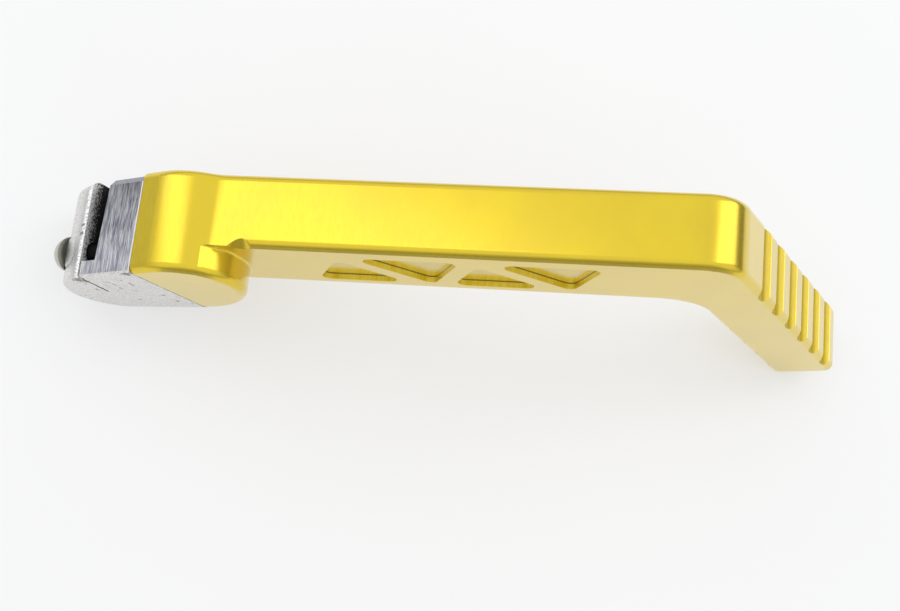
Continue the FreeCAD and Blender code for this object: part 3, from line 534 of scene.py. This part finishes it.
def cast_damage(graph, right, front, facing_up):
    """Mask of pits all over, of marks on the front face and of nicks in the ear's ridge."""
    pits = graph.noise(420.0, stretch=(1.0, 1.0, 1.6), detail=4.0, rough=0.7)
    damage = graph.step(pits, *PITS)
    ragged = graph.step(graph.noise(1500.0, rough=0.7), *NOISE_WIDE, *MARK_RAGGED)
    for mark in FACE_MARKS:
        scar = graph.product(graph.scar(*mark, ragged), front)
        damage = graph.math("MAXIMUM", damage, scar)
    on_ridge = graph.product(facing_up, graph.band(right, *NICK_REACH, SOFT))
    for middle, half in NICKS:
        nick = graph.band(graph.along(BACK), middle - half, middle + half, soft=0.0003)
        damage = graph.math("MAXIMUM", damage, graph.product(nick, on_ridge))
    return damage


def cast_colour(graph, right, blast, damage, front, facing_up):
    """Blasted skin with painted shade on the ear's top, a painted highlight along the ridge, a
    dotted dark seam and its damage.
    """
    on_ear = graph.band(right, *EAR_TOP, SOFT)
    ridge = graph.product(
        graph.band(right, *RIDGE, SOFT),
        graph.step(blast, *RIDGE_GRAINS),
        graph.step(graph.along(SLIT_UP), *RIDGE_UP),
    )
    seam = graph.step(graph.along(AHEAD), *PARTING_SEAM)
    dots = graph.step(graph.noise(700.0, detail=2.0), *SEAM_DOTS, *DOT_COVER)
    skin = graph.mix(graph.step(blast, *NOISE_WIDE), CAST_DARK, CAST_LIGHT)
    shaded = graph.product(on_ear, facing_up, graph.step(right, *EAR_DARKENS))
    skin = graph.paint(skin, EAR_SHADE, shaded, EAR_COVER)
    # Painted highlight along the ear's ridge
    skin = graph.paint(skin, RIDGE_PAINTED_HIGHLIGHT, ridge)
    skin = graph.paint(skin, SEAM_DARK, seam, front, dots)
    return graph.paint(skin, PIT_DARK, damage, PIT_COVER)


def top_masks(graph, right):
    """Masks of the knuckle's ground top face and of the milled bevel behind it."""
    crest = graph.facing(CREST_NORMAL)
    ground = graph.product(graph.step(crest, *GROUND_FACE), graph.step(right, *GROUND_FROM))
    bevel = graph.product(
        graph.band(graph.facing(BACK), *BEVEL_BACK, soft=0.05),
        graph.step(crest, *BEVEL_FACE),
        graph.step(right, *BEVEL_FROM),
    )
    return ground, bevel


def slot_masks(graph, right, blast):
    """Masks of the painted shade inside the slot, darker further down, and of the bare grains on
    its ear's side.
    """
    facing = graph.math("ABSOLUTE", graph.facing(SLIT_RIGHT))
    inside = graph.product(
        graph.step(facing, *SLOT_FACE), graph.band(right, *SLOT_REACH, soft=0.0003)
    )
    grains = graph.step(blast, *NOISE_NARROW, SLOT_GRAIN, -SLOT_GRAIN)
    height = graph.total(graph.along(SLIT_UP), grains)
    slot_shade = graph.product(inside, graph.step(height, *SLOT_DARK_UP), SLOT_SHADE_COVER)
    ear_side = graph.step(right, *SLOT_EAR_SIDE)
    bare = graph.product(inside, graph.step(height, *SLOT_BARE_UP), ear_side)
    return slot_shade, bare


def cast_steel():
    """Blasted casting with a ground top face and a milled bevel, with painted shade in the slot.
    """
    graph = MaterialGraph("cast_steel")
    right = graph.along(SLIT_RIGHT)
    front = graph.step(graph.facing(FRONT), *FRONT_FACE)
    facing_up = graph.step(graph.facing(SLIT_UP), *EAR_TOP_FACE)
    grain = graph.noise(2100.0, stretch=(1.0, 0.09, 1.0), detail=4.0, rough=0.7)
    hair = graph.noise(4200.0, stretch=(1.0, 0.05, 1.0), detail=2.0)
    streak = graph.product(graph.total(grain, hair), 0.5)
    blast = graph.noise(2200.0, rough=0.6)
    ground, bevel = top_masks(graph, right)
    slot_shade, bare = slot_masks(graph, right, blast)
    damage = cast_damage(graph, right, front, facing_up)
    milled = graph.mix(graph.step(streak, *NOISE_NARROW), BEVEL_DARK, BEVEL_LIGHT)
    colour = cast_colour(graph, right, blast, damage, front, facing_up)
    colour = graph.paint(colour, ground_colour(graph, streak), ground)
    colour = graph.paint(colour, milled, bevel)
    # Painted shade in the slot, darker deeper down
    colour = graph.paint(colour, SLOT_PAINTED_SHADE, slot_shade)
    rough = graph.total(
        CAST_ROUGH, graph.product(ground, GROUND_ROUGHER), graph.product(slot_shade, SLOT_SHADE_ROUGHER)
    )
    height = graph.total(
        graph.product(blast, BLAST_HEIGHT, graph.rest(ground)),
        graph.product(streak, STREAK_HEIGHT, ground),
    )
    shape = graph.bump(height, strength=0.45, distance=0.00006)
    shape = graph.bump(graph.rest(damage), strength=0.5, distance=0.00010, base=shape)
    metal = graph.rest(graph.product(bare, BARE_DULL))
    return graph.surface(Base_Color=colour, Metallic=metal, Roughness=rough, Normal=shape)


def steel(name, bright, worn, rough):
    """Plain steel whose fine marks change its colour and roughness."""
    graph = MaterialGraph(name)
    marks = graph.noise(1500.0, detail=4.0, rough=0.6)
    return graph.surface(
        Base_Color=graph.mix(graph.step(marks, *NOISE_WIDE), bright, worn), Metallic=1.0,
        Roughness=graph.step(marks, *NOISE_WIDE, *rough),
        Normal=graph.bump(marks, strength=0.08, distance=0.00002),
    )


def screw_steel():
    """Polished plating on the dome with a painted highlight at its tip and painted shade at its
    foot, and painted shade on the shank where it shows in the slot.
    """
    graph = MaterialGraph("plated_steel")
    marks = graph.noise(1500.0, detail=4.0, rough=0.6)
    right = graph.along(SLIT_RIGHT)
    shank = graph.step(right, *SHANK)
    olive = graph.mix(graph.step(marks, *NOISE_WIDE), DOME_LIGHT, DOME_DARK)
    # Painted highlight at the dome's tip and painted shade at its foot by the ear
    colour = graph.paint(DOME_TIP_PAINTED_HIGHLIGHT, olive, graph.step(right, *DOME_MIDDLE))
    colour = graph.paint(colour, DOME_FOOT_PAINTED_SHADE, graph.step(right, *DOME_FOOT))
    # Painted shade on the shank where it shows in the slot
    colour = graph.paint(colour, SHANK_PAINTED_SHADE, shank)
    rough = graph.total(
        graph.step(marks, *NOISE_WIDE, *DOME_ROUGH), graph.product(shank, SHANK_ROUGHER)
    )
    return graph.surface(Base_Color=colour, Metallic=1.0, Roughness=rough)


def dress(node, material):
    """Give a CAD node one material, in place of its plain one."""
    data = NODES[node].data
    data.materials.clear()
    data.materials.append(material)


def add_object(name, data):
    """New object in the scene."""
    made = bpy.data.objects.new(name, data)
    bpy.context.scene.collection.objects.link(made)
    return made


def crown_place(right, half_width, height, power, angle):
    """Point on a flattened half ring round the screw's axis."""
    across = math.copysign(abs(math.cos(angle)) ** power, math.cos(angle)) * half_width
    lift = math.sin(angle) ** power * height
    return (
        Vector(SLIT_RIGHT) * right + Vector(SLIT_UP) * (SCREW_UP + lift)
        + Vector((0, SCREW_Y + across, 0))
    )


def ear_crown(material):
    """Cast web over the screw's shank, where its hole opens into the ear's rounded corner."""
    first_deg = 90 - CROWN_SWEEP_DEG / 2
    part_deg = CROWN_SWEEP_DEG / CROWN_PARTS
    angles = [math.radians(first_deg + part_deg * index) for index in range(CROWN_PARTS + 1)]
    shape = bmesh.new()
    rings = [
        [shape.verts.new(crown_place(*ring, angle)) for angle in angles] for ring in CROWN_RINGS
    ]
    for ring, after in zip(rings, rings[1:] + rings[:1]):
        for index in range(CROWN_PARTS):
            shape.faces.new((ring[index], ring[index + 1], after[index + 1], after[index]))
    for index in (0, CROWN_PARTS):
        shape.faces.new([ring[index] for ring in rings])
    bmesh.ops.recalc_face_normals(shape, faces=shape.faces)
    mesh = bpy.data.meshes.new("ear_crown")
    shape.to_mesh(mesh)
    shape.free()
    mesh.materials.append(material)
    return add_object("ear_crown", mesh)


def make_table():
    """White table, lit from inside so that the lever throws hardly any shade on it."""
    signs = ((-1, -1), (1, -1), (1, 1), (-1, 1))
    corners = [(TABLE_REACH * x, TABLE_REACH * y, TABLE_Z) for x, y in signs]
    mesh = bpy.data.meshes.new("table")
    mesh.from_pydata(corners, [], [(0, 1, 2, 3)])
    graph = MaterialGraph("table_white")
    mesh.materials.append(graph.surface(
        Base_Color=graph.mix(graph.noise(9.0), TABLE_DARK, TABLE_LIGHT), Roughness=TABLE_ROUGH,
        Emission_Color=WHITE, Emission_Strength=TABLE_GLOW,
    ))
    return add_object("table", mesh)


def make_soft_box(name, towards, size, watts):
    """Soft rectangular light that faces the lever."""
    data = bpy.data.lights.new(name, "AREA")
    data.shape = "RECTANGLE"
    data.size, data.size_y = size
    data.energy = watts
    light = add_object(name, data)
    offset = Vector(towards).normalized() * LIGHT_DISTANCE
    light.location = Vector(LEVER_MIDDLE) + offset
    light.rotation_euler = (-offset).to_track_quat("-Z", "Y").to_euler()


def make_tent():
    """White tent all round, darker towards the horizon and on two sides."""
    world = bpy.data.worlds.new("studio")
    world.use_nodes = True
    graph = Graph(world.node_tree)
    towards = graph.node("ShaderNodeTexCoord").outputs["Generated"]
    strength = graph.step(graph.dot(towards, UP), 0.0, TENT_RISE, TENT_LOW, 1.0)
    for middle, start, end, low in DARK_SIDES:
        side = graph.step(graph.dot(towards, middle), start, end, 1.0, low)
        strength = graph.product(strength, side)
    background = graph.node("ShaderNodeBackground")
    graph.feed_all(background, (TENT_WHITE, strength))
    output = graph.node("ShaderNodeOutputWorld")
    graph.link(background.outputs[0], output.inputs[0])
    bpy.context.scene.world = world


def make_camera():
    """Camera at the photograph's place, with the photograph's frame."""
    data = bpy.data.cameras.new("photo_camera")
    data.sensor_fit = "HORIZONTAL"
    data.sensor_width = SENSOR_MM
    data.lens = FOCAL_PX * SENSOR_MM / FRAME_WIDTH_PX
    data.clip_start, data.clip_end = CAMERA_CLIP
    camera = add_object("photo_camera", data)
    camera.location = CAMERA_PLACE
    camera.rotation_euler = [math.radians(angle) for angle in CAMERA_TURN_DEG]
    bpy.context.scene.camera = camera


def main():
    cast = cast_steel()
    pin_steel = steel("ground_steel", PIN_STEEL, PIN_WORN, PIN_ROUGH)
    dress("arm", gold())
    dress("knuckle", cast)
    for node in ("pivot_pin", "keeper_pin", "detent_ball"):
        dress(node, pin_steel)
    dress("detent_spring", steel("spring_steel", WIRE_STEEL, WIRE_WORN, WIRE_ROUGH))
    dress("pinch_screw", screw_steel())
    crown = ear_crown(cast)
    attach(crown, "knuckle_body")
    table = make_table()
    for box in SOFT_BOXES:
        make_soft_box(*box)
    make_tent()
    make_camera()
    bpy.context.scene.view_settings.view_transform = "Standard"


main()
